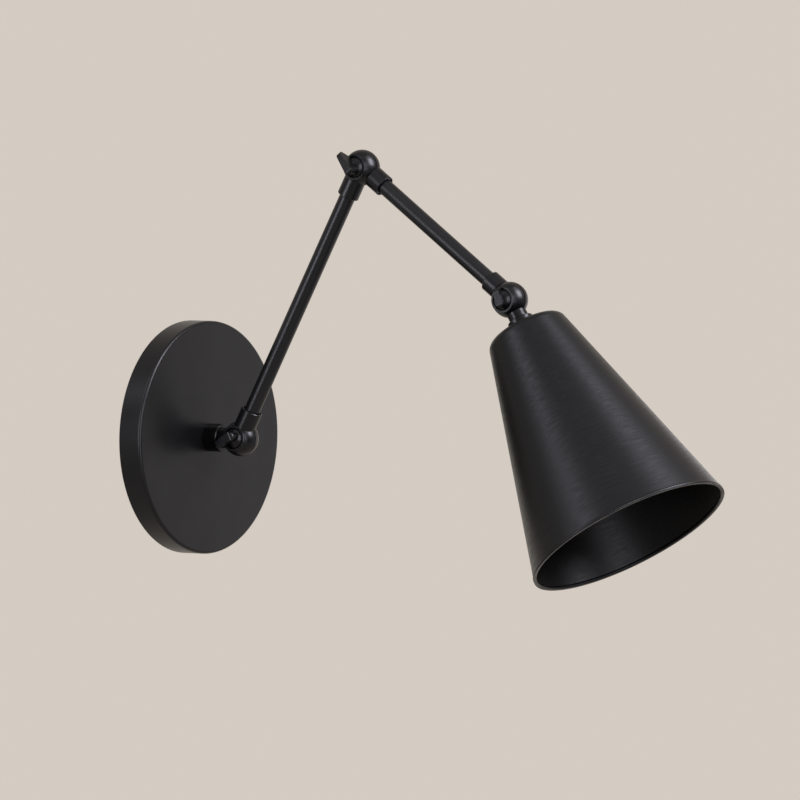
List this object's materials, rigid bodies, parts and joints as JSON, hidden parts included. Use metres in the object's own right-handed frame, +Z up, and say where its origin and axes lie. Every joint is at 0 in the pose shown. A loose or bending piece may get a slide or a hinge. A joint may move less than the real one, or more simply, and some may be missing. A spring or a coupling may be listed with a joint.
{
  "type": "swing arm wall lamp",
  "caption": "Black wall lamp on a folding double arm: round wall plate, ball knuckles with thumb screws, and a tilting cone shade that throws light down.",
  "frame": {"origin": "centre of the round wall plate's back, on the wall plane", "axes": "+Y into the wall, +X to the right when facing the wall, +Z up"},
  "size_m": [0.14, 0.3703, 0.2561],
  "materials": {
    "satin_black": "satin black powder coat",
    "zinc": "zinc plated",
    "dark_steel": "blackened steel",
    "brass": "plain turned brass",
    "earth_green": "green dyed screw",
    "lead_sleeve": "woven black sleeve",
    "holder_plastic": "black moulded plastic"
  },
  "bodies": {
    "wall_mount": {"wall_plate": "satin_black", "mounting_strap": "zinc", "top_rim_screw": "dark_steel", "bottom_rim_screw": "dark_steel", "earth_screw": "earth_green", "plate_nipple": "brass", "plate_lock_nut": "zinc", "plate_tooth_washer": "zinc", "swivel_collar": "satin_black", "swivel_retainer": "dark_steel"},
    "stem": {"stem_knuckle": "satin_black", "swivel_spring_washer": "dark_steel"},
    "first_screw": {"first_thumb_screw": "satin_black"},
    "lower_arm": {"first_friction_ring": "dark_steel", "lower_arm_foot": "satin_black", "lower_rod": "satin_black", "lower_lead": "lead_sleeve", "lower_arm_head": "satin_black", "elbow_friction_ring": "dark_steel"},
    "upper_arm": {"upper_arm_foot": "satin_black", "upper_rod": "satin_black", "upper_lead": "lead_sleeve", "upper_arm_head": "satin_black"},
    "elbow_screw": {"elbow_thumb_screw": "satin_black"},
    "shade_screw": {"shade_thumb_screw": "satin_black"},
    "shade_head": {"shade_friction_ring": "dark_steel", "shade_knuckle": "satin_black", "check_ring": "satin_black", "shade_nipple": "brass", "shade": "satin_black", "shade_lock_nut": "zinc", "holder_cap": "holder_plastic", "holder_skirt": "holder_plastic", "screw_shell": "brass", "centre_contact": "brass"}
  },
  "joints": [
    {"name": "wall_swivel", "type": "hinge", "parent": "wall_mount", "child": "stem", "pos_m": [0, -0.0206, 0], "axis": [0, 1, 0], "range_deg": [-90, 90]},
    {"name": "wall_knuckle", "type": "hinge", "parent": "stem", "child": "lower_arm", "pos_m": [0, -0.0385, 0], "axis": [1, 0, 0], "range_deg": [-27, 79]},
    {"name": "elbow", "type": "hinge", "parent": "lower_arm", "child": "upper_arm", "pos_m": [0, -0.12337, 0.16303], "axis": [-1, 0, 0], "range_deg": [-8, 147]},
    {"name": "shade_knuckle", "type": "hinge", "parent": "upper_arm", "child": "shade_head", "pos_m": [0, -0.23149, 0.08662], "axis": [1, 0, 0], "range_deg": [-127, 77]},
    {"name": "first_screw_turn", "type": "hinge", "parent": "stem", "child": "first_screw", "pos_m": [0, -0.0385, 0], "axis": [-1, 0, 0], "range_deg": [0, 180]},
    {"name": "elbow_screw_turn", "type": "hinge", "parent": "upper_arm", "child": "elbow_screw", "pos_m": [0, -0.12337, 0.16303], "axis": [-1, 0, 0], "range_deg": [0, 180]},
    {"name": "shade_screw_turn", "type": "hinge", "parent": "upper_arm", "child": "shade_screw", "pos_m": [0, -0.23149, 0.08662], "axis": [-1, 0, 0], "range_deg": [0, 180]}
  ]
}
